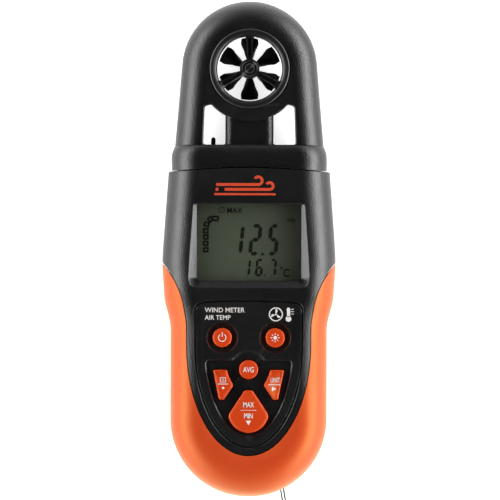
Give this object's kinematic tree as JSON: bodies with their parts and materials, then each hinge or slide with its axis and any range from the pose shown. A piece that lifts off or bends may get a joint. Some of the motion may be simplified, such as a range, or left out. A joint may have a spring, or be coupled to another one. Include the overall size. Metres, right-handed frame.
{
  "type": "handheld weather meter",
  "caption": "Pocket wind and temperature meter with an open vane in a swivelling head, a segment display, rubber-gripped casing and a wrist strap.",
  "frame": {"origin": "under the middle of the instrument, on the surface that its back lies on (wrist strap not counted)", "axes": "+Z out of the display, +Y along the instrument towards the vane, +X to the right as the display is read"},
  "size_m": [0.0578, 0.2373, 0.0299],
  "materials": {
    "black_plastic": "fine spark-eroded texture, matte",
    "orange_rubber": "soft-touch overmould, satin",
    "orange_key": "satin, printed white",
    "clear_plastic": "clear, polished",
    "display_glass": "reflective liquid crystal panel",
    "white_plastic": "natural",
    "board_green": "solder mask",
    "grey_silicone": "matte",
    "steel": "plated",
    "nickel": "satin plated",
    "magnet": "nickel plated",
    "cell_wrap": "printed foil, no marks",
    "cord_black": "braided cord"
  },
  "bodies": {
    "casing": {"backlight": "white_plastic", "battery_1": "cell_wrap", "battery_2": "cell_wrap", "battery_3": "cell_wrap", "battery_spring_1": "steel", "battery_spring_2": "steel", "battery_spring_3": "steel", "board_screw_1": "steel", "board_screw_2": "steel", "board_screw_3": "steel", "board_screw_4": "steel", "case_screw_1": "steel", "case_screw_2": "steel", "case_screw_3": "steel", "case_screw_4": "steel", "contact_bridge_lower": "nickel", "contact_bridge_upper": "nickel", "contact_negative": "nickel", "contact_positive": "nickel", "elastomer_connector": "grey_silicone", "front_grip": "orange_rubber", "front_shell": "black_plastic", "keypad_mat": "grey_silicone", "lcd_lens": "clear_plastic", "lcd_module": "display_glass", "main_board": "board_green", "radio_module": "nickel", "rear_grip": "orange_rubber", "rear_shell": "black_plastic", "side_cover": "black_plastic", "strap_ferrule": "nickel", "strap_lead": "cord_black", "strap_thread": "cord_black", "strap_tie": "cord_black", "swivel_washer": "steel", "wrist_strap": "cord_black"},
    "head": {"head_front": "black_plastic", "head_rear": "black_plastic", "swivel_spigot": "white_plastic", "vane_frame_front": "black_plastic", "vane_frame_rear": "black_plastic", "bearing_front": "steel", "bearing_rear": "steel", "sensor_board": "board_green", "sensor_lead": "grey_silicone", "temperature_probe": "black_plastic", "head_screw_1": "steel", "head_screw_2": "steel", "head_screw_3": "steel", "head_screw_4": "steel"},
    "rotor": {"impeller": "black_plastic", "impeller_shaft": "steel", "rotor_magnet": "magnet"},
    "battery_cover": {"battery_cover": "black_plastic"},
    "key_power": {"key_power": "orange_key"},
    "key_light": {"key_light": "orange_key"},
    "key_average": {"key_average": "orange_key"},
    "key_hold": {"key_hold": "orange_key"},
    "key_unit": {"key_unit": "orange_key"},
    "key_minmax": {"key_minmax": "orange_key"}
  },
  "joints": [
    {"name": "head_swivel", "type": "hinge", "parent": "casing", "child": "head", "pos_m": [0, 0.02755, 0.0145], "axis": [0, 1, 0], "range_deg": [-90, 90]},
    {"name": "impeller_spin", "type": "hinge", "parent": "head", "child": "rotor", "pos_m": [0, 0.06, 0.0145], "axis": [0, 0, 1], "continuous": true},
    {"name": "battery_cover_lift", "type": "slide", "parent": "casing", "child": "battery_cover", "axis": [0, 0, -1], "range_m": [0, 0.03]},
    {"name": "key_power_press", "type": "slide", "parent": "casing", "child": "key_power", "axis": [0, 0, -1], "range_m": [0, 0.0007], "stiffness_N_per_m": 1200, "springref_m": -0.0003},
    {"name": "key_light_press", "type": "slide", "parent": "casing", "child": "key_light", "axis": [0, 0, -1], "range_m": [0, 0.0007], "stiffness_N_per_m": 1200, "springref_m": -0.0003},
    {"name": "key_average_press", "type": "slide", "parent": "casing", "child": "key_average", "axis": [0, 0, -1], "range_m": [0, 0.0007], "stiffness_N_per_m": 1200, "springref_m": -0.0003},
    {"name": "key_hold_press", "type": "slide", "parent": "casing", "child": "key_hold", "axis": [0, 0, -1], "range_m": [0, 0.0007], "stiffness_N_per_m": 1200, "springref_m": -0.0003},
    {"name": "key_unit_press", "type": "slide", "parent": "casing", "child": "key_unit", "axis": [0, 0, -1], "range_m": [0, 0.0007], "stiffness_N_per_m": 1200, "springref_m": -0.0003},
    {"name": "key_minmax_press", "type": "slide", "parent": "casing", "child": "key_minmax", "axis": [0, 0, -1], "range_m": [0, 0.0007], "stiffness_N_per_m": 1200, "springref_m": -0.0003}
  ]
}
